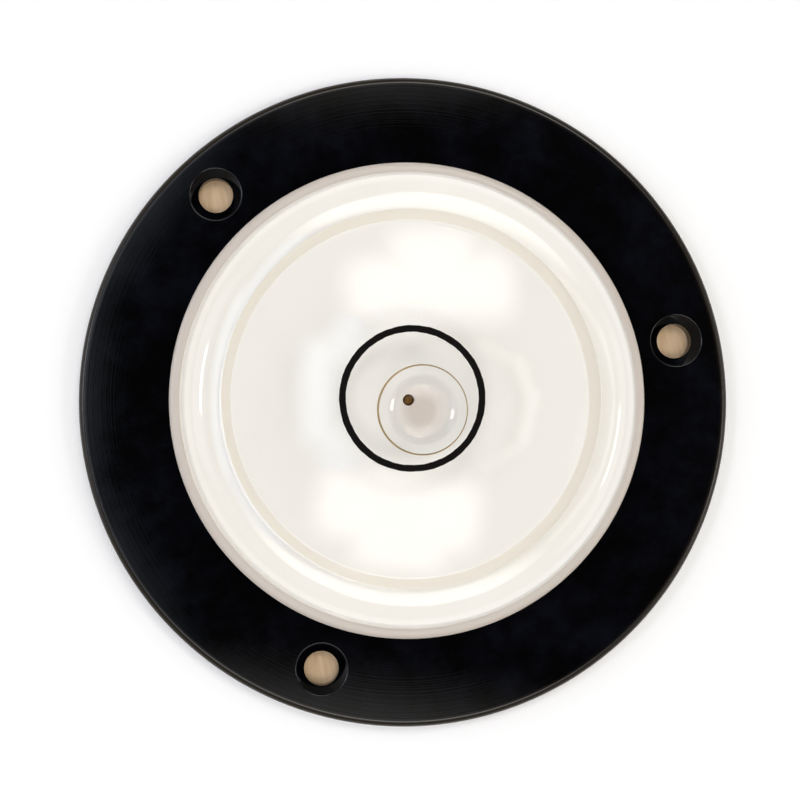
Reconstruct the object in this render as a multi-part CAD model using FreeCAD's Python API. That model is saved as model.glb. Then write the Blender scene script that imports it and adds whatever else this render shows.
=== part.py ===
"""Bullseye level on a round screw-down flange, in millimetres.

The level rests on the underside of its flange, at Z = 0, and +Z points out of
the window. The origin is the middle of the underside, and the first mounting
hole lies on +X. Every round piece is turned from a half section about Z.
"""
import FreeCAD, Part
import math
import os

V = FreeCAD.Vector

# Flange: a turned aluminium ring, 60 across, as wide as this all round its counterbore
flange_width = 8.4
flange_thickness = 2.0
flange_top_round = 0.6
flange_foot_chamfer = 0.2
ledge_thickness = 0.9
ledge_width = 2.2

# Mounting holes along the middle of the flange's width, countersunk from above
hole_count = 3
hole_dia = 3.2
countersink_dia = 4.8
countersink_angle = 90.0

# Cup: a white moulded dish that stands in the flange
cup_dia = 43.1
cup_stand = 3.95
rim_width = 1.0
rim_chamfer = 0.2
foot_width = 1.9
web_under_groove = 1.0
groove_depth = 1.0
floor_below_rim = 0.45

# Lens: a clear moulded lid with a raised shoulder around its dome
lens_skirt_wall = 3.5
shoulder_round = 3.45
crest_land = 0.32
crest_below_top = 0.55
step_run = 0.75
dome_radius = 65.0
dome_wall = 1.7
dome_above_rim = 4.25
chamber_corner_chamfer = 0.5
foot_corner_chamfer = 0.2

# Reading circle: black paint in a turned groove on the dome
circle_dia = 12.24
circle_line = 0.5
circle_depth = 0.15

# Bubble: the air left in the spirit, off centre because the level tilts a little
bubble_dia = 7.8
bubble_depth = 1.9
bubble_offset = 1.35
bubble_bearing = -60.0

# Filling hole and its plug, under the middle of the cup
plug_dia = 1.0
plug_head_dia = 2.6
plug_head_height = 0.8
plug_head_chamfer = 0.15

# Clearances, each between two pieces that a maker fits together
cup_in_flange = 0.05
lens_in_rim = 0.08
lens_on_spigot = 0.08
plug_in_floor = 0.01

# Heights and radii that follow from the sizes above
cup_r = cup_dia / 2
counterbore_r = cup_r + cup_in_flange
flange_r = counterbore_r + flange_width
hole_circle_r = counterbore_r + flange_width / 2
ledge_inner_r = counterbore_r - ledge_width
foot_z = ledge_thickness
rim_z = foot_z + cup_stand
rim_inner_r = cup_r - rim_width
floor_z = rim_z - floor_below_rim
groove_z = floor_z - groove_depth
under_floor_z = groove_z - web_under_groove
lens_r = rim_inner_r - lens_in_rim
chamber_r = lens_r - lens_skirt_wall
spigot_r = chamber_r - lens_on_spigot
dome_top_z = rim_z + dome_above_rim
dome_centre_z = dome_top_z - dome_radius
under_dome_radius = dome_radius - dome_wall
crest_r = lens_r - shoulder_round - crest_land
crest_z = dome_top_z - crest_below_top
step_r = crest_r - step_run


def sphere_z(radius, r):
    """Height of a sphere about the dome's centre, at distance r from the axis."""
    return dome_centre_z + math.sqrt(radius ** 2 - r ** 2)


def line(a, b):
    return Part.LineSegment(V(a[0], 0, a[1]), V(b[0], 0, b[1])).toShape()


def arc(a, middle, b):
    return Part.Arc(V(a[0], 0, a[1]), V(middle[0], 0, middle[1]), V(b[0], 0, b[1])).toShape()


def sphere_arc(radius, r_from, r_to):
    """Part of the half section that lies on a sphere about the dome's centre."""
    r_middle = (r_from + r_to) / 2
    ends = [(r, sphere_z(radius, r)) for r in (r_from, r_middle, r_to)]
    return arc(*ends)


def quarter_round(a, corner, b):
    """Arc from a to b, tangent to the two square edges that meet in corner."""
    share = 1 - math.sqrt(0.5)
    middle = (
        corner[0] + (a[0] + b[0] - 2 * corner[0]) * share,
        corner[1] + (a[1] + b[1] - 2 * corner[1]) * share,
    )
    return arc(a, middle, b)


def turned(edges):
    """Solid of revolution about Z from the edges of a closed half section."""
    face = Part.Face(Part.Wire(edges))
    return face.revolve(V(0, 0, 0), V(0, 0, 1), 360)


def turned_polygon(points):
    closed = points + points[:1]
    return turned([line(a, b) for a, b in zip(closed, closed[1:])])


def make_flange_ring():
    """Flat ring with a counterbore that leaves a ledge for the cup's foot."""
    top = flange_thickness
    round_from = (flange_r - flange_top_round, top)
    round_to = (flange_r, top - flange_top_round)
    edges = [
        line((ledge_inner_r, 0), (flange_r - flange_foot_chamfer, 0)),
        line((flange_r - flange_foot_chamfer, 0), (flange_r, flange_foot_chamfer)),
        line((flange_r, flange_foot_chamfer), round_to),
        quarter_round(round_to, (flange_r, top), round_from),
        line(round_from, (counterbore_r, top)),
        line((counterbore_r, top), (counterbore_r, ledge_thickness)),
        line((counterbore_r, ledge_thickness), (ledge_inner_r, ledge_thickness)),
        line((ledge_inner_r, ledge_thickness), (ledge_inner_r, 0)),
    ]
    ring = turned(edges)
    return ring.cut(make_mounting_holes())


def make_mounting_holes():
    """Drills and countersinks, as tools to be cut out of the flange."""
    hole_r = hole_dia / 2
    sink_r = countersink_dia / 2
    sink_depth = (sink_r - hole_r) / math.tan(math.radians(countersink_angle / 2))
    sink_floor = flange_thickness - sink_depth
    past_face = 1.0
    tool = turned_polygon([
        (0, -past_face),
        (hole_r, -past_face),
        (hole_r, sink_floor),
        (sink_r, flange_thickness),
        (sink_r, flange_thickness + past_face),
        (0, flange_thickness + past_face),
    ])
    tools = []
    for i in range(hole_count):
        one = tool.copy()
        one.translate(V(hole_circle_r, 0, 0))
        one.rotate(V(0, 0, 0), V(0, 0, 1), 360 / hole_count * i)
        tools.append(one)
    return Part.Compound(tools)


def make_vial_cup():
    """White dish: foot, rim, a groove for the lens and a raised chamber floor."""
    foot_inner_r = cup_r - foot_width
    outer_from = (cup_r, rim_z - rim_chamfer)
    outer_to = (cup_r - rim_chamfer, rim_z)
    plug_r = plug_dia / 2 + plug_in_floor
    edges = [
        line((foot_inner_r, foot_z), (cup_r, foot_z)),
        line((cup_r, foot_z), outer_from),
        line(outer_from, outer_to),
        line(outer_to, (rim_inner_r, rim_z)),
        line((rim_inner_r, rim_z), (rim_inner_r, groove_z)),
        line((rim_inner_r, groove_z), (spigot_r, groove_z)),
        line((spigot_r, groove_z), (spigot_r, floor_z)),
        line((spigot_r, floor_z), (plug_r, floor_z)),
        line((plug_r, floor_z), (plug_r, under_floor_z)),
        line((plug_r, under_floor_z), (foot_inner_r, under_floor_z)),
        line((foot_inner_r, under_floor_z), (foot_inner_r, foot_z)),
    ]
    return turned(edges)


def make_dome_lens():
    """Clear lid: skirt, rounded shoulder, crest, step, dome and concave underside."""
    shoulder_from = (lens_r, crest_z - shoulder_round)
    shoulder_to = (lens_r - shoulder_round, crest_z)
    step_from = (crest_r, crest_z)
    step_to = (step_r, sphere_z(dome_radius, step_r))
    corner_r = chamber_r - chamber_corner_chamfer
    corner = (corner_r, sphere_z(under_dome_radius, corner_r))
    wall_top = (chamber_r, corner[1] - chamber_corner_chamfer)
    foot_in = (chamber_r, groove_z + foot_corner_chamfer)
    foot_out = (lens_r, groove_z + foot_corner_chamfer)
    edges = [
        line(foot_out, shoulder_from),
        quarter_round(shoulder_from, (lens_r, crest_z), shoulder_to),
        line(shoulder_to, step_from),
        line(step_from, step_to),
        sphere_arc(dome_radius, step_r, 0),
        line((0, dome_top_z), (0, sphere_z(under_dome_radius, 0))),
        sphere_arc(under_dome_radius, 0, corner_r),
        line(corner, wall_top),
        line(wall_top, foot_in),
        line(foot_in, (chamber_r + foot_corner_chamfer, groove_z)),
        line((chamber_r + foot_corner_chamfer, groove_z), (lens_r - foot_corner_chamfer, groove_z)),
        line((lens_r - foot_corner_chamfer, groove_z), foot_out),
    ]
    return turned(edges).cut(make_level_circle())


def make_level_circle():
    """Ring of black paint, flush with the dome."""
    inner_r = (circle_dia - circle_line) / 2
    outer_r = (circle_dia + circle_line) / 2
    floor_radius = dome_radius - circle_depth
    edges = [
        sphere_arc(dome_radius, inner_r, outer_r),
        line((outer_r, sphere_z(dome_radius, outer_r)), (outer_r, sphere_z(floor_radius, outer_r))),
        sphere_arc(floor_radius, outer_r, inner_r),
        line((inner_r, sphere_z(floor_radius, inner_r)), (inner_r, sphere_z(dome_radius, inner_r))),
    ]
    return turned(edges)


def make_spirit_fill():
    """Spirit: everything between cup and lens, less the bubble under the dome."""
    corner_r = chamber_r - chamber_corner_chamfer
    corner = (corner_r, sphere_z(under_dome_radius, corner_r))
    wall_top = (chamber_r, corner[1] - chamber_corner_chamfer)
    edges = [
        line((0, floor_z), (chamber_r, floor_z)),
        line((chamber_r, floor_z), wall_top),
        line(wall_top, corner),
        sphere_arc(under_dome_radius, corner_r, 0),
        line((0, sphere_z(under_dome_radius, 0)), (0, floor_z)),
    ]
    return turned(edges).cut(make_bubble())


def make_bubble():
    """Air pressed against the dome: the cap of a ball, as a tool that is cut out of the spirit."""
    ball_r = ((bubble_dia / 2) ** 2 + bubble_depth ** 2) / (2 * bubble_depth)
    bearing = math.radians(bubble_bearing)
    x = bubble_offset * math.cos(bearing)
    y = bubble_offset * math.sin(bearing)
    bottom_z = sphere_z(under_dome_radius, bubble_offset) - bubble_depth
    return Part.makeSphere(ball_r, V(x, y, bottom_z + ball_r))


def make_fill_plug():
    """Pin through the cup's floor, with a head under it."""
    pin_r = plug_dia / 2
    head_r = plug_head_dia / 2
    head_z = under_floor_z - plug_head_height
    return turned_polygon([
        (0, head_z),
        (head_r - plug_head_chamfer, head_z),
        (head_r, head_z + plug_head_chamfer),
        (head_r, under_floor_z),
        (pin_r, under_floor_z),
        (pin_r, floor_z),
        (0, floor_z),
    ])


pieces = {
    "flange_ring": make_flange_ring(),
    "vial_cup": make_vial_cup(),
    "dome_lens": make_dome_lens(),
    "level_circle": make_level_circle(),
    "spirit_fill": make_spirit_fill(),
    "fill_plug": make_fill_plug(),
}

os.makedirs("parts", exist_ok=True)
for name, shape in pieces.items():
    shape.exportStep("parts/" + name + ".step")
    box = shape.optimalBoundingBox()
    print(name, "solids", len(shape.Solids), "valid", shape.isValid(), "volume", round(shape.Volume, 2),
          "width", round(box.XLength, 3), "Z", round(box.ZMin, 3), "to", round(box.ZMax, 3))
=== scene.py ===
# %% [markdown]
# # Dressing a bullseye level
# The structure of this level was drawn in CAD and comes in as a fixed frame: six solids that
# keep their places. Blender adds what the eye judges, which is edge rounds, glass that bends
# light, a bubble with its true form, and surfaces with grain, tooling marks, wear and tarnish.
# Some shade and reflections are painted into colours.
# Everything is in metres. The origin is the middle of the flange's underside, and +Z comes out
# of the window.

import math

import bmesh
import bpy
from mathutils import Matrix, Vector


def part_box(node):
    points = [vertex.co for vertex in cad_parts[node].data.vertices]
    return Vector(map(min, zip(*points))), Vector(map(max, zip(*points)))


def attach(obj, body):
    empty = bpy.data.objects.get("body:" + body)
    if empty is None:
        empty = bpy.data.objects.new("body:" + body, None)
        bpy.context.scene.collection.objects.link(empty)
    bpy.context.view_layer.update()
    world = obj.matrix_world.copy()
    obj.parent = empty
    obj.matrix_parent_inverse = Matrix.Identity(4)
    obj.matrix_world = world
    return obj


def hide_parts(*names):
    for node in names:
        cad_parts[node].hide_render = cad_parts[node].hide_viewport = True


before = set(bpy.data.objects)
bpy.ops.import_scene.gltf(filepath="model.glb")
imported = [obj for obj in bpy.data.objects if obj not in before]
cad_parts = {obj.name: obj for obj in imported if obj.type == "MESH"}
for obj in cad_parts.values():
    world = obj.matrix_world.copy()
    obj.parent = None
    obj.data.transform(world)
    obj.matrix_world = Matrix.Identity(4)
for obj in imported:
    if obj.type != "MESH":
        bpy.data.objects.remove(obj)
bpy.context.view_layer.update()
print("CAD nodes:", sorted(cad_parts))

# %% [markdown]
# ## Sizes
# Real parts are drawn in millimetres, so the shapes below are too, and one constant turns them
# into metres when a mesh is made. The outer sizes are read from the CAD nodes' boxes, so the
# dressed level can't drift away from the structure. The rest repeats the drawing's values.

# %% Sizes in millimetres
MM = 0.001


def top_and_radius(node):
    """Highest point and outer radius of a turned CAD node, in mm."""
    low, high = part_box(node)
    reach = min(high[0], high[1], -low[0], -low[1])
    return high[2] / MM, reach / MM


flange_top, flange_r = top_and_radius("flange_ring")
rim_top, cup_r = top_and_radius("vial_cup")
dome_top, lens_r = top_and_radius("dome_lens")
ledge_z = 0.9
counterbore_r = 21.6
ledge_r = 19.4
floor_z = 4.4
groove_z = 3.4
web_z = 2.4
rim_in_r = 20.55
spigot_r = 16.89
dome_radius = 65.0
dome_wall = 1.7
circle_in_r, circle_out_r = 5.83, 6.42
print("radii of flange, cup and lens:", round(flange_r, 3), round(cup_r, 3), round(lens_r, 3))
print("heights of flange, rim and dome:", round(flange_top, 3), round(rim_top, 3), round(dome_top, 3))

# %% [markdown]
# ## A turned shape
# Every main piece of this level is round, as if made on a lathe. The half section is written as
# a list of corners in (radius, height), each with the radius of its edge round. No real edge is
# sharp, and the narrow round is what catches the light, so nearly every corner has one.
# A Screw modifier could do the turning. Plain mesh code is as short here, and it closes the
# shape on the axis with a clean fan.

# %% Half sections with rounded corners
def rounded(corners, steps=6):
    """Closed half section from (r, z) or (r, z, edge round) corners, in mm."""
    points = []
    count = len(corners)
    for i, corner in enumerate(corners):
        here = Vector(corner[:2])
        size = corner[2] if len(corner) > 2 else 0
        if not size:
            points.append(here)
            continue
        to_last = (Vector(corners[i - 1][:2]) - here).normalized()
        to_next = (Vector(corners[(i + 1) % count][:2]) - here).normalized()
        half_angle = to_last.angle(to_next) / 2
        reach = size / math.tan(half_angle)
        centre = here + (to_last + to_next).normalized() * size / math.sin(half_angle)
        start = here + to_last * reach - centre
        end = here + to_next * reach - centre
        sweep = start.angle_signed(end)
        for k in range(steps + 1):
            turn = -sweep * k / steps
            spun = Vector((start.x * math.cos(turn) - start.y * math.sin(turn),
                           start.x * math.sin(turn) + start.y * math.cos(turn)))
            points.append(centre + spun)
    return points


def sphere_points(radius, r_from, r_to, steps, centre_z):
    """Points of the half section that lie on a ball about the axis."""
    radii = [r_from + (r_to - r_from) * k / steps for k in range(steps + 1)]
    return [(r, centre_z + math.sqrt(radius ** 2 - r ** 2)) for r in radii]


# %% Turn a half section into a closed mesh
TURN_STEPS = 288
ON_AXIS = 1e-6


def turned_mesh(name, section, steps=TURN_STEPS):
    """Mesh of revolution from a closed half section. A point on the axis becomes a pole."""
    angles = [2 * math.pi * k / steps for k in range(steps)]
    work = bmesh.new()
    rings = []
    for r, z in section:
        if abs(r) < ON_AXIS:
            rings.append([work.verts.new((0, 0, z * MM))] * steps)
        else:
            rings.append([work.verts.new((r * math.cos(a) * MM, r * math.sin(a) * MM, z * MM)) for a in angles])
    for ring, following in zip(rings, rings[1:] + rings[:1]):
        for k in range(steps):
            around = (k + 1) % steps
            corners = list(dict.fromkeys([ring[k], ring[around], following[around], following[k]]))
            if len(corners) > 2:
                work.faces.new(corners)
    bmesh.ops.recalc_face_normals(work, faces=work.faces)
    mesh = bpy.data.meshes.new(name)
    work.to_mesh(mesh)
    work.free()
    return mesh


def show(name, mesh, crease_degrees=32):
    """Object for a mesh, smooth but for its creases, with flat faces kept flat."""
    piece = bpy.data.objects.new(name, mesh)
    bpy.context.scene.collection.objects.link(piece)
    mesh.shade_smooth()
    mesh.set_sharp_from_angle(angle=math.radians(crease_degrees))
    flatten = piece.modifiers.new("keep flats flat", "WEIGHTED_NORMAL")
    flatten.keep_sharp = True
    return piece


def stand_in_for(piece, node):
    """Ties a piece to the level's only body, in place of a CAD node."""
    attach(piece, "root")
    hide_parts(node)
    print(piece.name, "stands for", node, "with", len(piece.data.polygons), "faces")


# %% [markdown]
# ## Colours and nodes
# Colours are written as on a paint chart, in sRGB hex. Blender's shaders work in linear light,
# so one function converts them. One more small function adds a shader node: what it is given
# by name is either a setting, a value for an input, or another node's output to link. Three
# steps come back in several finishes and have a name too: how big a pattern is, how far a
# point lies from the level's axis, and how light gets past a clear surface.

# %% Colour and node helpers
def hex_to_linear(code):
    """Linear RGBA from an sRGB hex colour such as #f2efe8."""
    parts = [int(code[i:i + 2], 16) / 255 for i in (1, 3, 5)]
    return [c / 12.92 if c <= 0.04045 else ((c + 0.055) / 1.055) ** 2.4 for c in parts] + [1.0]


def add_node(tree, kind, settings=None, inputs=None):
    """Adds a node. An input takes a value, or a socket to link."""
    node = tree.nodes.new("ShaderNode" + kind)
    for name, value in (settings or {}).items():
        setattr(node, name, value)
    for name, value in (inputs or {}).items():
        if isinstance(value, bpy.types.NodeSocket):
            tree.links.new(value, node.inputs[name])
        else:
            node.inputs[name].default_value = value
    return node


def start_material(name):
    """New material with an empty node tree."""
    material = bpy.data.materials.new(name)
    material.use_nodes = True
    material.node_tree.nodes.clear()
    return material, material.node_tree


def per_mm(size):
    """Noise scale that gives features of about this many millimetres."""
    return 1 / (size * MM)


def distance_from_axis(tree, place, x=0.0, y=0.0):
    """Distance of each point from an upright axis at x, y in mm."""
    aside = add_node(tree, "VectorMath", {"operation": "MULTIPLY_ADD"}, {
        0: place, 1: (1, 1, 0), 2: (-x * MM, -y * MM, 0)}).outputs[0]
    return add_node(tree, "VectorMath", {"operation": "LENGTH"}, {0: aside}).outputs["Value"]


def let_light_past(tree, surface, share):
    """Lets a share of the light on its way to or from a matt surface pass unbent."""
    ray = add_node(tree, "LightPath")
    between_matt = add_node(tree, "Math", {"operation": "MAXIMUM"}, {
        0: ray.outputs["Is Shadow Ray"], 1: ray.outputs["Is Diffuse Ray"]})
    passing = add_node(tree, "Math", {"operation": "MULTIPLY"}, {0: between_matt.outputs[0], 1: share})
    unbent = add_node(tree, "BsdfTransparent")
    return add_node(tree, "MixShader", None, {0: passing.outputs[0], 1: surface, 2: unbent.outputs[0]}).outputs[0]


print("chart white", [round(c, 3) for c in hex_to_linear("#ffffff")])

# %% [markdown]
# ## The flange
# The real flange is turned from aluminium bar, drilled, countersunk and anodised black. It has
# a broad round on its upper edge and a counterbore that the cup stands in. I turn its section
# and cut the holes with turned cutters, as a drill and a countersink would. The cutters end in
# a small flare, which leaves a thin lip that catches the light. Polygons modelled around the
# holes by hand would give the same form for more work. Each cutter is turned by a degree or so
# about its own axis, so that none of its edges falls on an edge of the flange.

# %% Turn the flange
flange_section = rounded([
    (ledge_r, 0, 0.1),
    (flange_r, 0, 0.2),
    (flange_r, flange_top, 0.6),
    (counterbore_r, flange_top, 0.12),
    (counterbore_r, ledge_z, 0.05),
    (ledge_r, ledge_z, 0.1),
], steps=8)
flange_mesh = turned_mesh("flange_ring_dressed", flange_section)
print("flange section has", len(flange_section), "points")

# %% Drill and countersink it
hole_circle_r = 25.8
drill_r = 1.6
countersink_r = 2.4
lip = 0.07
flare_r = countersink_r + lip * 2
sink_z = flange_top - (countersink_r - drill_r)
past_face = 1
cutter_section = [
    (0, -past_face), (drill_r + lip * 2, -past_face), (drill_r + lip * 2, -lip), (drill_r, lip), (drill_r, sink_z),
    (countersink_r - lip, flange_top - lip), (countersink_r - lip * 0.3, flange_top - lip * 0.55),
    (flare_r, flange_top + lip * 0.6), (flare_r, flange_top + past_face), (0, flange_top + past_face),
]
flange = show("flange_ring_dressed", flange_mesh)
hole_turns = [Matrix.Rotation(2 * math.pi * k / 3, 4, "Z") for k in range(3)]
off_grid = Matrix.Rotation(math.radians(1.3), 4, "Z")
cutters = []
for turn in hole_turns:
    cutter_mesh = turned_mesh("cutter", cutter_section, steps=96)
    cutter_mesh.transform(turn @ Matrix.Translation((hole_circle_r * MM, 0, 0)) @ off_grid)
    cutter = bpy.data.objects.new("cutter", cutter_mesh)
    bpy.context.scene.collection.objects.link(cutter)
    cut = flange.modifiers.new("hole", "BOOLEAN")
    cut.operation = "DIFFERENCE"
    cut.solver = "EXACT"
    cut.object = cutter
    cutters.append(cutter)
flange.modifiers.move(0, len(cutters))

# %% Keep the cut mesh and drop the cutters
evaluated = flange.evaluated_get(bpy.context.evaluated_depsgraph_get())
cut_mesh = bpy.data.meshes.new_from_object(evaluated)
flange.modifiers.clear()
flange.data = cut_mesh
for cutter in cutters:
    bpy.data.objects.remove(cutter)
print("flange cut, now with", len(cut_mesh.polygons), "faces")

# %% [markdown]
# ### Clean normals round the holes
# A cut leaves long thin faces beside each hole, and averaged normals would smear streaks over
# them. The true directions are known here: straight up on the flats, towards the hole's axis on
# the drilled wall, halfway up on the countersink, and from there to upright over the flare. So
# I write those into the corners and leave the outer rounds as they are.

# %% Normals of flats and holes
cut_mesh.set_sharp_from_angle(angle=math.radians(20))
corner_normals = [corner.vector.copy() for corner in cut_mesh.corner_normals]
hole_axes = [turn @ Vector((hole_circle_r, 0, 0)) for turn in hole_turns]
SAME_HEIGHT = 0.001
INTO_WALL = 0.01
LEVEL_FACE = 0.999
NEARLY_LEVEL = 0.92


def on_flat(z):
    """Whether a height in mm is the flange's underside or its top."""
    return min(abs(z), abs(z - flange_top)) < SAME_HEIGHT


def hole_normal(out, z):
    """Normal of a hole's wall at height z, where out points away from the hole's axis."""
    inward = Vector((-out.x, -out.y, 0)).normalized()
    if z < sink_z - SAME_HEIGHT:
        return inward
    flare = min(max((z - flange_top + lip) / lip, 0), 1)
    return (inward * (1 - flare) + Vector((0, 0, 1))).normalized()


for face in cut_mesh.polygons:
    centre = face.center / MM
    axis = min(hole_axes, key=lambda hole: (centre.xy - hole.xy).length)
    flat = on_flat(centre.z) and abs(face.normal.z) > LEVEL_FACE
    in_hole = (centre.xy - axis.xy).length < flare_r and centre.z > lip
    for index in face.loop_indices:
        corner = cut_mesh.vertices[cut_mesh.loops[index].vertex_index].co / MM
        normal = corner_normals[index]
        if flat:
            corner_normals[index] = Vector((0, 0, math.copysign(1, face.normal.z)))
        elif in_hole:
            drilled = centre.z < sink_z
            z = min(corner.z, sink_z - INTO_WALL) if drilled else max(corner.z, sink_z)
            corner_normals[index] = hole_normal(corner - axis, z)
        elif on_flat(corner.z) and abs(normal.z) > NEARLY_LEVEL:
            corner_normals[index] = Vector((0, 0, math.copysign(1, normal.z)))
cut_mesh.normals_split_custom_set(corner_normals)
stand_in_for(flange, "flange_ring")

# %% [markdown]
# ### Black anodised aluminium
# Anodising grows a hard clear oxide on the aluminium and fills it with dye. So the eye sees a
# deep black under a thin, glassy and slightly uneven skin, and no metal. A dielectric with the
# oxide's index of about 1.6 is closer to that than a dark metal. The dye is a little bluer in
# some places, the lathe's feed still shows as very fine rings, and the skin is worn dull on the
# outer edge. The brown on that edge is a painted reflection of a warm brown surround. The feed
# is drawn at 0.16 mm, as coarse as it needs to show. The specular level is a little under its
# default, because the dye takes part of what the metal under the oxide would send back.

# %% Anodised aluminium
anodised, tree = start_material("anodised aluminium, black, turned")
place = add_node(tree, "TexCoord").outputs["Object"]
radius = distance_from_axis(tree, place)
dye = add_node(tree, "TexNoise", None, {"Vector": place, "Scale": per_mm(4.0), "Detail": 5.0, "Roughness": 0.65})
dye_spread = add_node(tree, "MapRange", None, {"Value": dye.outputs["Fac"], "From Min": 0.42, "From Max": 0.68})
black = add_node(tree, "Mix", {"data_type": "RGBA"}, {
    "Factor": dye_spread.outputs[0], "A": hex_to_linear("#010101"), "B": hex_to_linear("#08090f")})
# Painted reflection: the outer edge turns brown. The same mask makes that edge rougher, as wear.
edge_reflection_and_wear = add_node(tree, "MapRange", {"interpolation_type": "SMOOTHSTEP"}, {
    "Value": radius, "From Min": (flange_r - 0.9) * MM, "From Max": (flange_r - 0.2) * MM})
black_to_painted_brown_edge = add_node(tree, "Mix", {"data_type": "RGBA"}, {
    "Factor": edge_reflection_and_wear.outputs[0], "A": black.outputs["Result"], "B": hex_to_linear("#1e170d")})
feed_place = add_node(tree, "Math", {"operation": "MULTIPLY"}, {0: radius, 1: per_mm(0.16)}).outputs[0]
feed = add_node(tree, "TexNoise", {"noise_dimensions": "1D"}, {"W": feed_place, "Scale": 1.0, "Detail": 2.0})
grain = add_node(tree, "TexNoise", None, {"Vector": place, "Scale": per_mm(0.12), "Detail": 3.0})
rings_and_grain = add_node(tree, "Mix", {"data_type": "FLOAT"}, {
    "Factor": 0.45, "A": feed.outputs["Fac"], "B": grain.outputs["Fac"]})
skin = add_node(tree, "Bump", None, {
    "Height": rings_and_grain.outputs["Result"], "Strength": 0.12, "Distance": 0.01 * MM})
gloss = add_node(tree, "MapRange", None, {
    "Value": dye.outputs["Fac"], "From Min": 0.3, "From Max": 0.7, "To Min": 0.03, "To Max": 0.06})
worn_gloss = add_node(tree, "Math", {"operation": "MULTIPLY_ADD"}, {
    0: edge_reflection_and_wear.outputs[0], 1: 0.25, 2: gloss.outputs[0]})
oxide = add_node(tree, "BsdfPrincipled", None, {
    "Base Color": black_to_painted_brown_edge.outputs["Result"], "Roughness": worn_gloss.outputs[0], "IOR": 1.6,
    "Specular IOR Level": 0.28, "Normal": skin.outputs[0]})
add_node(tree, "OutputMaterial", None, {"Surface": oxide.outputs[0]})
flange.data.materials.clear()
flange.data.materials.append(anodised)
print(anodised.name, "with", len(tree.nodes), "nodes")

# %% [markdown]
# ## The cup
# The cup is moulded in white plastic: a dish with a foot, a web, a groove that takes the lid's
# skirt, and a raised floor that shows through the window as the white field. Its rim is the
# outermost pale ring from above. The rim is crowned a little, because a moulded edge shrinks as
# it cools, and a crown shades differently on each side where a flat would be one tone.

# %% Turn the cup
rim_crown = [(rim_in_r, groove_z), (rim_in_r, rim_top - 0.1), (rim_in_r + 0.03, rim_top - 0.04),
             (rim_in_r + 0.1, rim_top - 0.01), (rim_in_r + 0.2, rim_top), (rim_in_r + 0.36, rim_top - 0.01)]
crown_width, crown_drop = 0.62, 0.42
crown_steps = 12
crown_start = 0.15
for k in range(crown_steps + 1):
    a = math.pi / 2 * (crown_start + (1 - crown_start) * k / crown_steps)
    rim_crown.append((cup_r - crown_width + crown_width * math.sin(a), rim_top - crown_drop * (1 - math.cos(a))))
foot_z = ledge_z + 0.02
foot_in_r = cup_r - 1.9
filling_hole_r = 0.51
cup_section = rim_crown + rounded([
    (cup_r, foot_z, 0.15), (foot_in_r, foot_z, 0.1), (foot_in_r, web_z, 0.3), (filling_hole_r, web_z),
    (filling_hole_r, floor_z, 0.05), (spigot_r, floor_z, 0.03), (spigot_r, groove_z)])
cup = show("vial_cup_dressed", turned_mesh("vial_cup_dressed", cup_section))
stand_in_for(cup, "vial_cup")

# %% [markdown]
# ### Moulded ABS
# ABS filled with white pigment is an opaque, slightly warm white with a soft shine. The mould
# was turned, so faint rings run round the rim. Its broad faces carry the fine spark-eroded
# texture of the mould, and the pigment varies by a shade or two. The rim is coloured a darker
# beige grey as painted shade, and the floor behind the lid stays white.

# %% White ABS
white_abs, tree = start_material("ABS, white, moulded")
place = add_node(tree, "TexCoord").outputs["Object"]
radius = distance_from_axis(tree, place)
pigment = add_node(tree, "TexNoise", None, {"Vector": place, "Scale": per_mm(9.0), "Detail": 3.0})
white = add_node(tree, "Mix", {"data_type": "RGBA"}, {
    "Factor": pigment.outputs["Fac"], "A": hex_to_linear("#ece9e1"), "B": hex_to_linear("#f2efe8")})
ring_place = add_node(tree, "Math", {"operation": "MULTIPLY"}, {0: radius, 1: per_mm(0.22)}).outputs[0]
rings = add_node(tree, "TexNoise", {"noise_dimensions": "1D"}, {"W": ring_place, "Scale": 1.0, "Detail": 1.0})
on_rim = add_node(tree, "MapRange", {"interpolation_type": "SMOOTHSTEP"}, {
    "Value": radius, "From Min": (rim_in_r - 0.1) * MM, "From Max": (rim_in_r + 0.2) * MM, "To Max": 0.5})
eroded = add_node(tree, "TexNoise", None, {"Vector": place, "Scale": per_mm(0.25), "Detail": 4.0})
relief = add_node(tree, "Mix", {"data_type": "FLOAT"}, {
    "Factor": on_rim.outputs[0], "A": eroded.outputs["Fac"], "B": rings.outputs["Fac"]})
texture = add_node(tree, "Bump", None, {"Height": relief.outputs["Result"], "Strength": 0.2, "Distance": 0.02 * MM})
# Painted shade: the rim is coloured a darker beige grey than the white floor.
rim_shade_mask = add_node(tree, "MapRange", {"interpolation_type": "SMOOTHSTEP"}, {
    "Value": radius, "From Min": (rim_in_r - 0.02) * MM, "From Max": (rim_in_r + 0.1) * MM, "To Max": 0.8})
dulled = add_node(tree, "Mix", {"data_type": "RGBA"}, {
    "Factor": rim_shade_mask.outputs[0], "A": white.outputs["Result"], "B": hex_to_linear("#bdb1a6")})
plastic = add_node(tree, "BsdfPrincipled", None, {
    "Base Color": dulled.outputs["Result"], "Roughness": 0.32, "IOR": 1.53, "Normal": texture.outputs[0]})
add_node(tree, "OutputMaterial", None, {"Surface": plastic.outputs[0]})
cup.data.materials.append(white_abs)
print(white_abs.name, "with", len(tree.nodes), "nodes")

# %% [markdown]
# ## The lid
# The lid is moulded in clear acrylic: a skirt that is cemented into the cup's groove, a rounded
# shoulder, a crest, a short step down and then the shallow dome that the bubble rises to. Clear
# pieces need care in a path tracer. Cement leaves no air between lid and cup, so the skirt
# overlaps the cup by a hundredth of a millimetre, and light that reaches the joint meets white
# plastic and not a mirror. Only the top of the joint is open, as a fine groove inside the rim.
# The shoulder starts with a shallow cone, which mirrors one band of the room, and then falls
# away in an arc.

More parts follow.
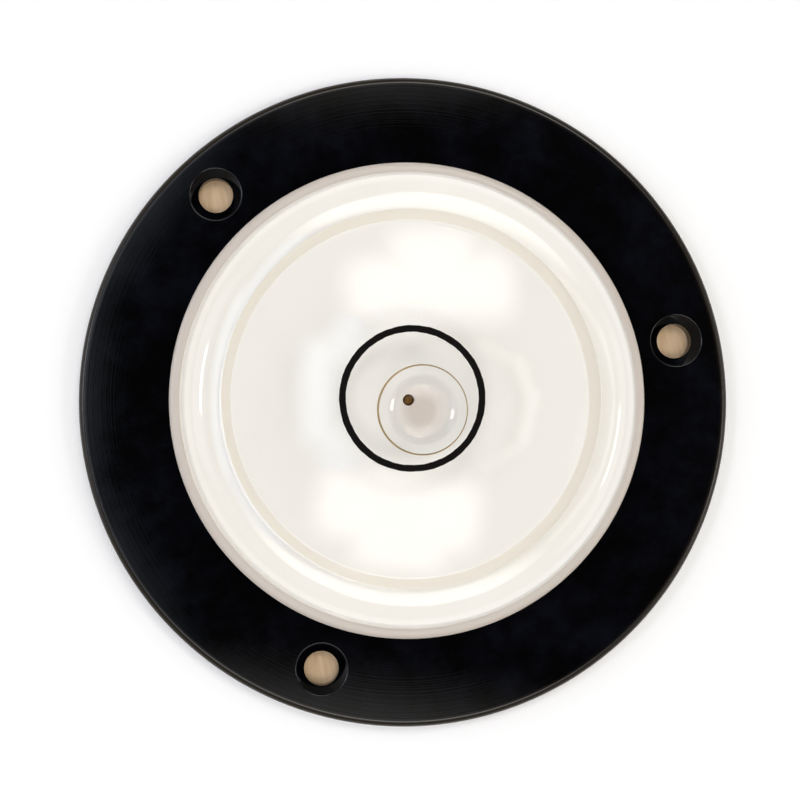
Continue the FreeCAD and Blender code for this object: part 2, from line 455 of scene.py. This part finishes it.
# %% Turn the lid
dome_centre = dome_top - dome_radius
crest_r = 16.7
crest_z = dome_top - 0.55
step_r = 15.95
step_blend = 0.16
dome = sphere_points(dome_radius, 0, step_r - step_blend, 44, dome_centre)
step_foot = (step_r, sphere_points(dome_radius, step_r, step_r, 1, dome_centre)[0][1])

crest_slope = math.radians(7)
cone_r = 17.9
cone_z = crest_z - (cone_r - crest_r) * math.tan(crest_slope)
shoulder = (lens_r - cone_r) / (1 - math.sin(crest_slope))
shoulder_r = lens_r - shoulder
shoulder_z = cone_z - shoulder * math.cos(crest_slope)
shoulder_steps = 32
shoulder_points = []
for k in range(shoulder_steps + 1):
    a = crest_slope + (math.pi / 2 - crest_slope) * k / shoulder_steps
    shoulder_points.append((shoulder_r + shoulder * math.sin(a), shoulder_z + shoulder * math.cos(a)))

cemented = 0.02
skirt_out_r = rim_in_r + 0.01
lid_wall = spigot_r - 0.01
lip_and_foot = rounded([
    dome[-1], (*step_foot, 0.06), (crest_r, crest_z, 0.05), *shoulder_points,
    (lens_r, rim_top - 0.1), (skirt_out_r, rim_top - 0.2), (skirt_out_r, groove_z - cemented),
    (lid_wall, groove_z - cemented)])

under_radius = dome_radius - dome_wall
corner_cut = 0.5
corner_r = spigot_r - corner_cut
under = sphere_points(under_radius, corner_r, 0, 44, dome_centre)
lid_section = dome[:-1] + lip_and_foot + [(lid_wall, under[0][1] - corner_cut)] + under
lid = show("dome_lens_dressed", turned_mesh("dome_lens_dressed", lid_section), crease_degrees=30)
stand_in_for(lid, "dome_lens")

# %% [markdown]
# ### Clear acrylic: dry, wetted and satin
# Acrylic bends light with an index of 1.49. Where spirit wets it the step in index is only
# 1.49 to 1.36, so that side hardly shows. The lid gets a material for its dry faces and one for
# its wetted faces, which is how optical software treats a surface under liquid. The little step
# round the dome is cut by a tool and is satin, and its beige tint is painted shade, so it shows
# as a beige band.
#
# A path tracer hardly finds a way for light through two bent surfaces to the white floor behind
# them. Real caustics would need a very long render. So light on its way to or from a matt
# surface passes the lid unbent, while the eye's own rays are bent and mirrored as they should.

# %% Acrylic
SPIRIT_INDEX = 1.36
ACRYLIC_INDEX = 1.49


def clear_surface(tree, index, roughness, relief_mm, size_mm, tint):
    """Clear dielectric whose surface has faint waves of a height and a size in mm."""
    place = add_node(tree, "TexCoord").outputs["Object"]
    waves = add_node(tree, "TexNoise", None, {"Vector": place, "Scale": per_mm(size_mm), "Detail": 2.0})
    bend = add_node(tree, "Bump", None, {
        "Height": waves.outputs["Fac"], "Strength": 0.1, "Distance": relief_mm * MM})
    return add_node(tree, "BsdfPrincipled", None, {
        "Base Color": tint, "Roughness": roughness, "IOR": index, "Transmission Weight": 1.0,
        "Normal": bend.outputs[0]})


# The satin step's beige tint is painted shade.
for name, index, roughness, relief_mm, size_mm, tint in (
        ("acrylic, clear, polished", ACRYLIC_INDEX, 0.02, 0.05, 6.0, "#ffffff"),
        ("acrylic, clear, wetted by spirit", ACRYLIC_INDEX / SPIRIT_INDEX, 0.0, 0.02, 6.0, "#ffffff"),
        ("acrylic, clear, satin from the tool", ACRYLIC_INDEX, 0.3, 0.02, 0.3, "#ece4d6")):
    acrylic, tree = start_material(name)
    clear = clear_surface(tree, index, roughness, relief_mm, size_mm, hex_to_linear(tint))
    add_node(tree, "OutputMaterial", None, {"Surface": let_light_past(tree, clear.outputs[0], 1.0)})
    lid.data.materials.append(acrylic)
    print(acrylic.name, "with", len(tree.nodes), "nodes")

# %% Which face of the lid gets which
POLISHED, WETTED, SATIN = range(3)
touching = 0.01
for face in lid.data.polygons:
    r = face.center.xy.length / MM
    z = face.center.z / MM
    on_wall = r < lid_wall + 0.001 and floor_z < z < under[0][1] + touching
    on_under = r < spigot_r and Vector((r, z - dome_centre)).length < under_radius + 0.2
    on_step = step_r < r < crest_r - 0.05 and z > step_foot[1]
    face.material_index = WETTED if on_wall or on_under else SATIN if on_step else POLISHED
for kind, word in enumerate(("polished", "wetted", "satin")):
    print(word, "faces:", sum(face.material_index == kind for face in lid.data.polygons))

# %% [markdown]
# ## The spirit and its bubble
# The chamber is full of clear spirit but for one bubble, which rises to the highest place under
# the dome. A half ball would be the wrong form. Buoyancy presses a bubble flat while surface
# tension rounds its edge, and the curve follows from the balance of the two. Walking along that
# curve in small steps gives the true section: flat in the middle, round at the side, and tucked
# in again under the lid. The width that the curve reaches depends on how round its lowest point
# is, so a search by halves finds the point that gives the bubble's own width.

# %% Work out the bubble's section
bubble_r = 4.0
capillary = 1.4
tucked_in = math.radians(176)


def bubble_curve(tip_radius, step=0.01):
    """Section of a bubble from its lowest point, as (radius, height) in mm."""
    r, z, slope = 1e-6, 0.0, 0.0
    points = [(0.0, 0.0)]
    while slope < tucked_in:
        side = math.sin(slope) / r if r > 1e-4 else 1 / tip_radius
        slope += (2 / tip_radius + z / capillary ** 2 - side) * step
        r += math.cos(slope) * step
        z += math.sin(slope) * step
        points.append((r, z))
    return points


low, high = 0.5, 4000.0
for _ in range(50):
    middle = math.sqrt(low * high)
    wide = max(r for r, z in bubble_curve(middle))
    low, high = (middle, high) if wide < bubble_r else (low, middle)
curve = bubble_curve(middle)
depth = curve[-1][1]
print("bubble tip radius", round(middle, 2), "mm, depth", round(depth, 2), "mm")

# %% Turn the spirit and the bubble
film = 0.03
skin_gap = 0.01
spirit_r = lid_wall - skin_gap
spirit_floor = floor_z - skin_gap
spirit_under = sphere_points(under_radius - skin_gap, corner_r - 0.02, 0, 44, dome_centre)
spirit_section = [(0, spirit_floor), (spirit_r, spirit_floor), (spirit_r, spirit_under[0][1] - corner_cut)]
spirit_mesh = turned_mesh("spirit_fill_dressed", spirit_section + spirit_under)

roof_edge = curve[-1][0]
roof_steps = 8
bubble_section = [(r, z - depth) for r, z in curve[::5] + [curve[-1]]]
bubble_section += [(roof_edge * (1 - k / roof_steps), 0) for k in range(1, roof_steps + 1)]
bubble_mesh = turned_mesh("bubble", bubble_section, steps=192)
print("faces of spirit and bubble:", len(spirit_mesh.polygons), len(bubble_mesh.polygons))

# %% Sort the bubble's faces while it still stands upright
WALL, SKIN, BRIM = range(3)
brim_width = 0.14
widest_z = max(curve)[1] - depth


def kind_of_face(r, z):
    """Wall and roof bend light, the tucked part over the widest place doesn't, and its edge is the brim."""
    if z < widest_z * MM or r < (roof_edge - 0.02) * MM:
        return WALL
    return BRIM if r > (bubble_r - brim_width) * MM else SKIN


bubble_kinds = [kind_of_face(face.center.xy.length, face.center.z) for face in bubble_mesh.polygons]
print("bubble faces:", bubble_kinds.count(WALL), "wall,", bubble_kinds.count(SKIN), "skin,",
      bubble_kinds.count(BRIM), "brim")

# %% Hang the bubble under the dome
bubble_at = Matrix.Rotation(math.radians(-54.7), 3, "Z") @ Vector((1.42, 0, 0))
roof_r = under_radius - skin_gap - film
lean = bubble_at.length / roof_r
axis = Vector((0, 0, 1)).cross(bubble_at).normalized()
for vertex in bubble_mesh.vertices:
    away = vertex.co.xy.length_squared / MM ** 2
    vertex.co.z -= away / (2 * roof_r) * MM * (1 + min(0, vertex.co.z / MM / depth))
    vertex.co.z += roof_r * MM
bubble_mesh.transform(Matrix.Translation((0, 0, dome_centre * MM)) @ Matrix.Rotation(lean, 4, axis))
bubble_mesh.flip_normals()
both = bmesh.new()
both.from_mesh(spirit_mesh)
skin_faces = len(both.faces)
both.from_mesh(bubble_mesh)
both.to_mesh(spirit_mesh)
both.free()
bpy.data.meshes.remove(bubble_mesh)
spirit = show("spirit_fill_dressed", spirit_mesh)
stand_in_for(spirit, "spirit_fill")

# %% [markdown]
# ### Spirit
# Spirit has an index of 1.36. Against the air in the bubble that is a strong step, so the
# bubble's wall gets a glass-like material. Against the wetted acrylic and the white floor the
# step is already counted on the other side, so the spirit's outer skin lets light pass as it is.
# The skin reaches a hundredth of a millimetre into the cup's floor, because each clear layer
# counts against the number that a ray may cross.
#
# A real bubble spreads the light under its middle and gathers it under its side. I paint that:
# the wall is a little darker in the middle, mirrors more in a ring where the windows show as
# two glints, and fades out towards its side. At the brim, where a real one mirrors everything at a
# flat angle, a thin tan line with a little unevenness is a painted reflection.

# %% Spirit round the bubble
free_surface, tree = start_material("spirit, clear, round the bubble")
clear = clear_surface(tree, SPIRIT_INDEX, 0.0, 0.002, 3.0, hex_to_linear("#ffffff"))
place = add_node(tree, "TexCoord").outputs["Object"]
off_axis = distance_from_axis(tree, place, bubble_at.x, bubble_at.y)


def ramp(start, end, at_start, at_end):
    """Value that goes smoothly from one to the other between two distances in mm from the bubble's axis."""
    return add_node(tree, "MapRange", {"interpolation_type": "SMOOTHSTEP"}, {
        "Value": off_axis, "From Min": start * MM, "From Max": end * MM,
        "To Min": at_start, "To Max": at_end}).outputs[0]


shade = add_node(tree, "Mix", {"data_type": "RGBA"}, {
    "Factor": ramp(0.8, 3.1, 0.0, 1.0), "A": hex_to_linear("#e8dfdb"), "B": hex_to_linear("#ffffff")})
tree.links.new(shade.outputs["Result"], clear.inputs["Base Color"])
ring = add_node(tree, "Math", {"operation": "MULTIPLY"}, {0: ramp(2.1, 2.5, 0.0, 0.07), 1: ramp(2.95, 3.2, 1.0, 0.0)})
mirror = add_node(tree, "BsdfAnisotropic", None, {"Roughness": 0.05})
shiny = add_node(tree, "MixShader", None, {0: ring.outputs[0], 1: clear.outputs[0], 2: mirror.outputs[0]})
unbent = add_node(tree, "BsdfTransparent")
fading = add_node(tree, "MixShader", None, {
    0: ramp(2.9, 3.4, 0.0, 0.85), 1: shiny.outputs[0], 2: unbent.outputs[0]})
add_node(tree, "OutputMaterial", None, {"Surface": let_light_past(tree, fading.outputs[0], 0.97)})
print(free_surface.name, "with", len(tree.nodes), "nodes")

# %% Spirit against its walls and at the brim
skin, tree = start_material("spirit, clear, against its walls")
add_node(tree, "OutputMaterial", None, {"Surface": add_node(tree, "BsdfTransparent").outputs[0]})
print(skin.name, "with", len(tree.nodes), "nodes")
# The brim's tan tone is a painted reflection.
brim, tree = start_material("spirit at the bubble's brim, painted reflection")
place = add_node(tree, "TexCoord").outputs["Object"]
uneven = add_node(tree, "TexNoise", None, {"Vector": place, "Scale": per_mm(1.5), "Detail": 1.0})
mirrored = add_node(tree, "Mix", {"data_type": "RGBA"}, {
    "Factor": uneven.outputs["Fac"], "A": hex_to_linear("#a88f62"), "B": hex_to_linear("#c4ad82")})
tone = add_node(tree, "BsdfDiffuse", None, {"Color": mirrored.outputs["Result"]})
add_node(tree, "OutputMaterial", None, {"Surface": let_light_past(tree, tone.outputs[0], 1.0)})
print(brim.name, "with", len(tree.nodes), "nodes")

# %% Give each face its spirit material
for material in (free_surface, skin, brim):
    spirit.data.materials.append(material)
for face in spirit.data.polygons:
    face.material_index = SKIN if face.index < skin_faces else bubble_kinds[face.index - skin_faces]
print("spirit: skin faces", skin_faces, "bubble faces", len(spirit.data.polygons) - skin_faces)

# %% [markdown]
# ## The reading circle
# The black circle is paint wiped into a turned groove on the dome. Painted lines are never quite
# even: the edge wanders by a few hundredths and has small nicks. A ring with a few sine waves on
# its radii gives that, and it fills the groove and stands a hair proud. Paint wets acrylic, so
# there is no groove surface behind it.

# %% Paint the circle
EDGE_WAVES = [
    # (waves round the circle, mm, turn on the inner edge, turn on the outer edge)
    (5, 0.012, 0.2, 1.1),
    (17, 0.010, 4.0, 2.3),
    (41, 0.009, 5.1, 0.4),
    (89, 0.006, 1.7, 3.1),
]
proud, sunk = 0.006, 0.14
circle_section = [
    (circle_in_r, 0), (circle_in_r + 0.03, 1), (circle_in_r + 0.12, 1.6), (circle_out_r - 0.12, 1.6),
    (circle_out_r - 0.03, 1), (circle_out_r, 0), (circle_out_r, -1), (circle_in_r, -1)]
circle_mesh = turned_mesh("level_circle_dressed", circle_section, steps=720)
for vertex in circle_mesh.vertices:
    r = vertex.co.xy.length / MM
    level = vertex.co.z / MM
    a = math.atan2(vertex.co.y, vertex.co.x)
    outer = r > (circle_in_r + circle_out_r) / 2
    new_r = r + sum(high * math.sin(count * a + (out_turn if outer else in_turn))
                    for count, high, in_turn, out_turn in EDGE_WAVES)
    vertex.co.x, vertex.co.y = new_r * math.cos(a) * MM, new_r * math.sin(a) * MM
    surface = dome_centre + math.sqrt(dome_radius ** 2 - new_r ** 2)
    vertex.co.z = (surface + (proud * level if level > 0 else sunk * level - 0.003)) * MM
circle = show("level_circle_dressed", circle_mesh)
stand_in_for(circle, "level_circle")

# %% [markdown]
# ### Fill-in paint
# Engraver's fill is a thick matt enamel. Wiping leaves it slightly grainy and a touch brown
# where it is thin.

# %% Black enamel
enamel, tree = start_material("enamel, black, wiped in")
place = add_node(tree, "TexCoord").outputs["Object"]
thin = add_node(tree, "TexNoise", None, {"Vector": place, "Scale": per_mm(0.7), "Detail": 4.0})
paint = add_node(tree, "Mix", {"data_type": "RGBA"}, {
    "Factor": thin.outputs["Fac"], "A": hex_to_linear("#040303"), "B": hex_to_linear("#0f0906")})
grains = add_node(tree, "TexNoise", None, {"Vector": place, "Scale": per_mm(0.08), "Detail": 2.0})
dull = add_node(tree, "Bump", None, {"Height": grains.outputs["Fac"], "Strength": 0.2, "Distance": 0.01 * MM})
coat = add_node(tree, "BsdfPrincipled", None, {
    "Base Color": paint.outputs["Result"], "Roughness": 0.6, "IOR": 1.5, "Specular IOR Level": 0.08,
    "Normal": dull.outputs[0]})
add_node(tree, "OutputMaterial", None, {"Surface": coat.outputs[0]})
circle.data.materials.append(enamel)
print(enamel.name, "with", len(tree.nodes), "nodes")

# %% [markdown]
# ## The filling plug
# The cup is filled through a small hole in the middle of its floor, which a brass pin closes.
# Its end is the brown dot. The end is turned with a small chamfer and a shallow centre mark, so
# its edge looks darker than its middle.

# %% Turn the plug
pin_r, head_r = 0.5, 1.3
head_z = web_z - 0.8
under_web = web_z - 0.005
plug_section = rounded([
    (0, head_z), (head_r, head_z, 0.15), (head_r, under_web, 0.05), (pin_r, under_web)], steps=4)
plug_section += [(pin_r, floor_z - 0.12), (0.47, floor_z - 0.05), (0.4, floor_z - 0.012), (0.3, floor_z),
                 (0.16, floor_z - 0.01), (0.07, floor_z - 0.04), (0, floor_z - 0.055)]
plug = show("fill_plug_dressed", turned_mesh("fill_plug_dressed", plug_section, steps=96))
stand_in_for(plug, "fill_plug")

# %% [markdown]
# ### Brass, dulled by spirit
# Brass is a metal, so it has no colour under its reflection: the base colour is the reflection's
# own tint. Years in spirit leave it brown and satin. Its colour goes to a darker brown towards
# the edge of its end.

# %% Brass
brass, tree = start_material("brass, turned, dulled")
place = add_node(tree, "TexCoord").outputs["Object"]
stain = add_node(tree, "TexNoise", None, {"Vector": place, "Scale": per_mm(0.35), "Detail": 4.0})
tarnish = add_node(tree, "Mix", {"data_type": "RGBA"}, {
    "Factor": stain.outputs["Fac"], "A": hex_to_linear("#6b4c1e"), "B": hex_to_linear("#8f6f38")})
radius = distance_from_axis(tree, place)
# Darker brown towards the edge of the pin's end.
to_rim = add_node(tree, "MapRange", {"interpolation_type": "SMOOTHSTEP"}, {
    "Value": radius, "From Min": 0.22 * MM, "From Max": 0.4 * MM})
browner_towards_edge = add_node(tree, "Mix", {"data_type": "RGBA"}, {
    "Factor": to_rim.outputs[0], "A": tarnish.outputs["Result"], "B": hex_to_linear("#4a3413")})
turning = add_node(tree, "Bump", None, {"Height": stain.outputs["Fac"], "Strength": 0.3, "Distance": 0.02 * MM})
metal = add_node(tree, "BsdfPrincipled", None, {
    "Base Color": browner_towards_edge.outputs["Result"], "Metallic": 1.0, "Roughness": 0.42, "Normal": turning.outputs[0]})
add_node(tree, "OutputMaterial", None, {"Surface": metal.outputs[0]})
plug.data.materials.append(brass)
print(brass.name, "with", len(tree.nodes), "nodes")

# %% [markdown]
# ## The floor
# The floor is plain and pale. It takes the level's shadow like paper, and to the camera and to
# reflections it adds a little light of its own, so that lit paper is white and the shadow stays.
# Under the level lies a round of kraft card, a little smaller than the flange, so that the three
# holes look down on a warm tone. Kraft's fibres run one way, as noise that is stretched along
# one axis.

# %% Floor
floor_half = 1.5
floor_height = -0.03 * MM
floor_mesh = bpy.data.meshes.new("floor")
floor_corners = [(x * floor_half, y * floor_half, floor_height) for x, y in ((-1, -1), (1, -1), (1, 1), (-1, 1))]
floor_mesh.from_pydata(floor_corners, [], [(0, 1, 2, 3)])
floor = bpy.data.objects.new("floor", floor_mesh)
bpy.context.scene.collection.objects.link(floor)
print("floor", 2 * floor_half, "m across")

# %% Paper and card
paper, tree = start_material("paper, white, with kraft card under the level")
place = add_node(tree, "TexCoord").outputs["Object"]
past_level = add_node(tree, "MapRange", {"interpolation_type": "SMOOTHSTEP"}, {
    "Value": distance_from_axis(tree, place), "From Min": (flange_r - 1.2) * MM, "From Max": flange_r * MM})
along_fibres = add_node(tree, "VectorMath", {"operation": "MULTIPLY"}, {0: place, 1: (1, 0.12, 1)}).outputs[0]
fibres = add_node(tree, "TexNoise", None, {"Vector": along_fibres, "Scale": per_mm(0.4), "Detail": 3.0})
kraft = add_node(tree, "Mix", {"data_type": "RGBA"}, {
    "Factor": fibres.outputs["Fac"], "A": hex_to_linear("#c39f78"), "B": hex_to_linear("#e3cbac")})
colour = add_node(tree, "Mix", {"data_type": "RGBA"}, {
    "Factor": past_level.outputs[0], "A": kraft.outputs["Result"], "B": (0.9, 0.9, 0.9, 1)})
matt = add_node(tree, "BsdfDiffuse", None, {"Color": colour.outputs["Result"]})
ray = add_node(tree, "LightPath")
seen = add_node(tree, "Math", {"operation": "MAXIMUM"}, {
    0: ray.outputs["Is Camera Ray"], 1: ray.outputs["Is Glossy Ray"]})
seen_at_all = add_node(tree, "Math", {"operation": "MAXIMUM"}, {
    0: seen.outputs[0], 1: ray.outputs["Is Transmission Ray"]})
faint = add_node(tree, "Math", {"operation": "MULTIPLY"}, {0: past_level.outputs[0], 1: 0.12})
lift = add_node(tree, "Math", {"operation": "MULTIPLY"}, {0: seen_at_all.outputs[0], 1: faint.outputs[0]})
glow = add_node(tree, "Emission", None, {"Color": (1, 1, 1, 1), "Strength": lift.outputs[0]})
lit_paper = add_node(tree, "AddShader", None, {0: matt.outputs[0], 1: glow.outputs[0]})
add_node(tree, "OutputMaterial", None, {"Surface": lit_paper.outputs[0]})
floor_mesh.materials.append(paper)
print(paper.name, "with", len(tree.nodes), "nodes")

# %% [markdown]
# ## Light
# A photographer lights glossy things with large soft panels and looks at where they mirror. The
# dome of this level shows two of them, and the black flange shows that straight above it was
# dark. The panels are painted into the world as soft-edged rectangles of light, each with its
# direction, roll, size, edge, strength and colour, over bands of plain sky. Two small strong
# windows lower down make the glints in the bubble, and a broad dim one round each lights the
# shoulder. Panels in the world give smooth reflections with less grain than lamps behind glass
# do. To the camera itself the world is white, like the floor that it ends on.

# %% Panels and sky
# The table's bearings are read in the photograph, which is turned by this much about the level.
PHOTO_TURN = -12.6
panels = [
    # (degrees from overhead, bearing, roll, half width, half height, soft edge, strength, colour)
    (25.4, 68.7, -65, 15.7, 6.6, 5.0, 5.0, "#fffdf8"),
    (30.5, 70.6, -68, 7.9, 6.7, 4.9, 5.0, "#fffdf8"),
    (15.0, 121.9, -157, 2.9, 6.5, 3.5, 4.5, "#e2eeff"),
    (12.6, 165.8, -168, 3.3, 10.4, 3.5, 4.3, "#e2eeff"),
    (12.4, -139.0, 167, 3.3, 6.5, 3.5, 4.1, "#e2eeff"),
    (19.9, -81.5, 73, 15.4, 7.1, 5.0, 5.0, "#fffdf8"),
    (24.7, -81.1, 76, 9.1, 7.1, 4.9, 5.0, "#fffdf8"),
    (25.5, 23.3, -50, 6.1, 1.4, 1.3, 1.4, "#fff3e0"),
    (28.2, 10.4, 11, 1.4, 5.2, 1.4, 2.1, "#fff3e0"),
    (28.2, -2.9, -10, 1.4, 5.6, 1.4, 2.1, "#fffdf8"),
    (25.2, -20.4, 54, 6.1, 1.4, 1.3, 1.3, "#fffdf8"),
    (57, 172, 0, 21, 26, 10, 1.45, "#eceeff"),
    (60, -8, 0, 16, 26, 9, 1.35, "#fbf7f0"),
    (42, 171, 0, 4.2, 7, 2.2, 11, "#f2f4ff"),
    (47, -9, 0, 3.6, 7, 2.0, 10, "#fffaf2"),
]
sky_bands = [
    # (height from 0 at the horizon to 1 overhead, red, green, blue)
    (0.00, 0.79, 0.78, 0.76),
    (0.05, 0.66, 0.64, 0.60),
    (0.14, 0.30, 0.27, 0.23),
    (0.40, 0.32, 0.30, 0.26),
    (0.70, 0.40, 0.38, 0.36),
    (0.86, 0.34, 0.33, 0.32),
    (0.95, 0.06, 0.06, 0.07),
    (0.97, 0.03, 0.03, 0.04),
]


def panel_axes(from_zenith, bearing, roll):
    """Unit vectors towards a panel's middle, along its width and along its height."""
    turn = (Matrix.Rotation(math.radians(bearing + PHOTO_TURN), 3, "Z")
            @ Matrix.Rotation(math.radians(from_zenith), 3, "Y")
            @ Matrix.Rotation(math.radians(roll), 3, "Z"))
    return turn.col[2], turn.col[0], turn.col[1]


def edges(half_size, soft):
    """Where a panel's light starts and ends to fade, on a plane at distance 1."""
    reach, blur = math.tan(math.radians(half_size)), math.tan(math.radians(soft))
    return reach - blur, reach + blur


print(len(panels), "soft panels over", len(sky_bands), "bands of sky")

# %% [markdown]
# ### How bright is that?
# Where the light that falls on a level surface adds up to 1, a colour renders about as it is
# written. So before rendering I add it up over the sky, in steps of a degree or two.

# %% Add up the light
def fade(low, high, value):
    """1 below low, 0 above high, and a smooth step between."""
    t = min(1, max(0, (value - low) / (high - low)))
    return 1 - t * t * (3 - 2 * t)


def sky_level(direction):
    """Brightness of the world towards a direction, as the nodes below paint it."""
    level = sky_bands[-1][2]
    for (low_z, _, lower, _), (high_z, _, upper, _) in zip(sky_bands, sky_bands[1:]):
        if low_z <= direction.z < high_z:
            level = lower + (upper - lower) * (direction.z - low_z) / (high_z - low_z)
    for from_zenith, bearing, roll, half_w, half_h, soft, strength, colour in panels:
        middle, along, across = panel_axes(from_zenith, bearing, roll)
        ahead = direction.dot(middle)
        if ahead > 0:
            shine = strength * fade(*edges(half_w, soft), abs(direction.dot(along)) / ahead)
            level = max(level, shine * fade(*edges(half_h, soft), abs(direction.dot(across)) / ahead))
    return level


total = 0
down_step, round_step = math.radians(1), math.radians(2)
for i in range(90):
    a = (i + 0.5) * down_step
    for k in range(180):
        b = (k + 0.5) * round_step
        towards = Vector((math.sin(a) * math.cos(b), math.sin(a) * math.sin(b), math.cos(a)))
        total += sky_level(towards) * math.cos(a) * math.sin(a) * down_step * round_step
print("light on a level surface, where 1 shows a colour as written:", round(total / math.pi, 3))

# %% Paint the world
world = bpy.data.worlds.new("studio")
bpy.context.scene.world = world
world.use_nodes = True
tree = world.node_tree
tree.nodes.clear()
towards_light = add_node(tree, "TexCoord").outputs["Generated"]
height = add_node(tree, "SeparateXYZ", None, {0: towards_light}).outputs["Z"]
bands = add_node(tree, "ValToRGB", None, {0: height})
while len(bands.color_ramp.elements) < len(sky_bands):
    bands.color_ramp.elements.new(0.5)
for stop, (z, *colour) in zip(bands.color_ramp.elements, sky_bands):
    stop.position = z
    stop.color = (*colour, 1)
light = bands.outputs[0]
for from_zenith, bearing, roll, half_w, half_h, soft, strength, colour in panels:
    middle, along, across = panel_axes(from_zenith, bearing, roll)
    ahead = add_node(tree, "VectorMath", {"operation": "DOT_PRODUCT"}, {0: towards_light, 1: middle}).outputs["Value"]
    shine = add_node(tree, "Math", {"operation": "GREATER_THAN"}, {0: ahead, 1: 0.0}).outputs[0]
    for axis, half_size in ((along, half_w), (across, half_h)):
        sideways = add_node(tree, "VectorMath", {"operation": "DOT_PRODUCT"}, {0: towards_light, 1: axis})
        on_plane = add_node(tree, "Math", {"operation": "DIVIDE"}, {0: sideways.outputs["Value"], 1: ahead})
        distance = add_node(tree, "Math", {"operation": "ABSOLUTE"}, {0: on_plane.outputs[0]})
        starts, ends = edges(half_size, soft)
        falls = add_node(tree, "MapRange", {"interpolation_type": "SMOOTHSTEP"}, {
            "Value": distance.outputs[0], "From Min": starts, "From Max": ends, "To Min": 1.0, "To Max": 0.0})
        shine = add_node(tree, "Math", {"operation": "MULTIPLY"}, {0: shine, 1: falls.outputs[0]}).outputs[0]
    tint = add_node(tree, "VectorMath", {"operation": "SCALE"}, {
        0: [strength * c for c in hex_to_linear(colour)[:3]], "Scale": shine})
    light = add_node(tree, "VectorMath", {"operation": "MAXIMUM"}, {0: light, 1: tint.outputs[0]}).outputs[0]
ray = add_node(tree, "LightPath")
backdrop = add_node(tree, "Mix", {"data_type": "RGBA"}, {
    "Factor": ray.outputs["Is Camera Ray"], "A": light, "B": (1, 1, 1, 1)})
background = add_node(tree, "Background", None, {"Color": backdrop.outputs["Result"], "Strength": 1.0})
add_node(tree, "OutputWorld", None, {"Surface": background.outputs[0]})
bpy.context.scene.view_settings.view_transform = "Standard"
print("world with", len(panels), "soft panels")

# %% [markdown]
# ## Camera
# The photograph looks straight down, but the level isn't in the middle of the lens's view: the
# higher rings are shifted to the right. A small tilt with a small sensor shift gives the same
# picture and keeps the level in the frame from every other side too.

# %% Camera
lens_data = bpy.data.cameras.new("camera")
camera = bpy.data.objects.new("camera", lens_data)
bpy.context.scene.collection.objects.link(camera)
lens_data.lens = 66.86
lens_data.sensor_width = 36.0
lens_data.shift_x = 0.0994
lens_data.shift_y = 0.0307
lens_data.clip_start = 0.01
camera_at = Vector((-12.47, -4.40, 138.40))
camera_tilt = (0.953, -1.952, -0.012 + PHOTO_TURN)
camera.location = Matrix.Rotation(math.radians(PHOTO_TURN), 3, "Z") @ camera_at * MM
camera.rotation_euler = [math.radians(a) for a in camera_tilt]
bpy.context.scene.camera = camera
print("camera", round(camera.location.z / MM, 1), "mm above the floor")
